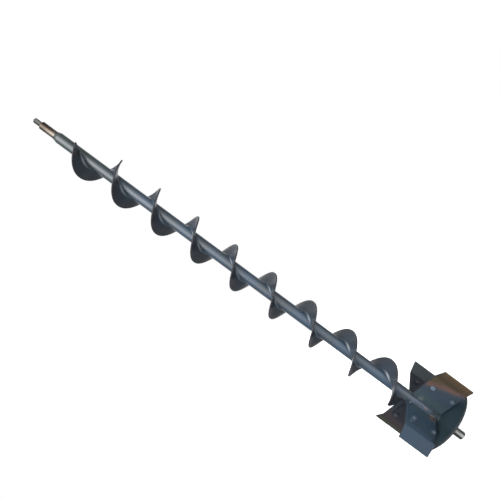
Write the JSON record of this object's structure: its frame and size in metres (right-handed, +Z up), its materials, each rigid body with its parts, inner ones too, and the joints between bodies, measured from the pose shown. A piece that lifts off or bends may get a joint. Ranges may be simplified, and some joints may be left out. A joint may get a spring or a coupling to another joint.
{
  "type": "soil auger",
  "caption": "Long steel drilling auger: hollow core tube with hexagon drive shank, right-handed helical flight, and a head of bent bolted blades above a round disc and pilot shank.",
  "frame": {"origin": "middle of the top face of the drive shank's hexagon", "axes": "+Z up along the auger's axis towards the drive machine; +X and +Y square to it, with the flight at +X at whole turns"},
  "size_m": [0.216, 0.216, 1.531],
  "materials": {
    "slate_paint": "semi-gloss dark slate-blue paint, rubbed and rusty in places",
    "worn_steel": "bare turned steel with a golden-brown film",
    "bright_steel": "bright turned steel",
    "zinc": "bright zinc plating"
  },
  "bodies": {
    "root": {"base_disc": "slate_paint", "blade_bolt_1_lower": "zinc", "blade_bolt_1_upper": "zinc", "blade_bolt_2_lower": "zinc", "blade_bolt_2_upper": "zinc", "blade_bolt_3_lower": "zinc", "blade_bolt_3_upper": "zinc", "blade_bolt_4_lower": "zinc", "blade_bolt_4_upper": "zinc", "blade_lug_1": "slate_paint", "blade_lug_2": "slate_paint", "blade_lug_3": "slate_paint", "blade_lug_4": "slate_paint", "bolt_nut_1_lower": "zinc", "bolt_nut_1_upper": "zinc", "bolt_nut_2_lower": "zinc", "bolt_nut_2_upper": "zinc", "bolt_nut_3_lower": "zinc", "bolt_nut_3_upper": "zinc", "bolt_nut_4_lower": "zinc", "bolt_nut_4_upper": "zinc", "bolt_washer_1_lower": "zinc", "bolt_washer_1_upper": "zinc", "bolt_washer_2_lower": "zinc", "bolt_washer_2_upper": "zinc", "bolt_washer_3_lower": "zinc", "bolt_washer_3_upper": "zinc", "bolt_washer_4_lower": "zinc", "bolt_washer_4_upper": "zinc", "core_tube": "slate_paint", "cutting_blade_1": "slate_paint", "cutting_blade_2": "slate_paint", "cutting_blade_3": "slate_paint", "cutting_blade_4": "slate_paint", "drive_shank": "worn_steel", "flight_turn_1": "slate_paint", "flight_turn_2": "slate_paint", "flight_turn_3": "slate_paint", "flight_turn_4": "slate_paint", "flight_turn_5": "slate_paint", "flight_turn_6": "slate_paint", "flight_turn_7": "slate_paint", "flight_turn_8": "slate_paint", "flight_turn_9": "slate_paint", "pilot_shank": "bright_steel"}
  },
  "joints": []
}
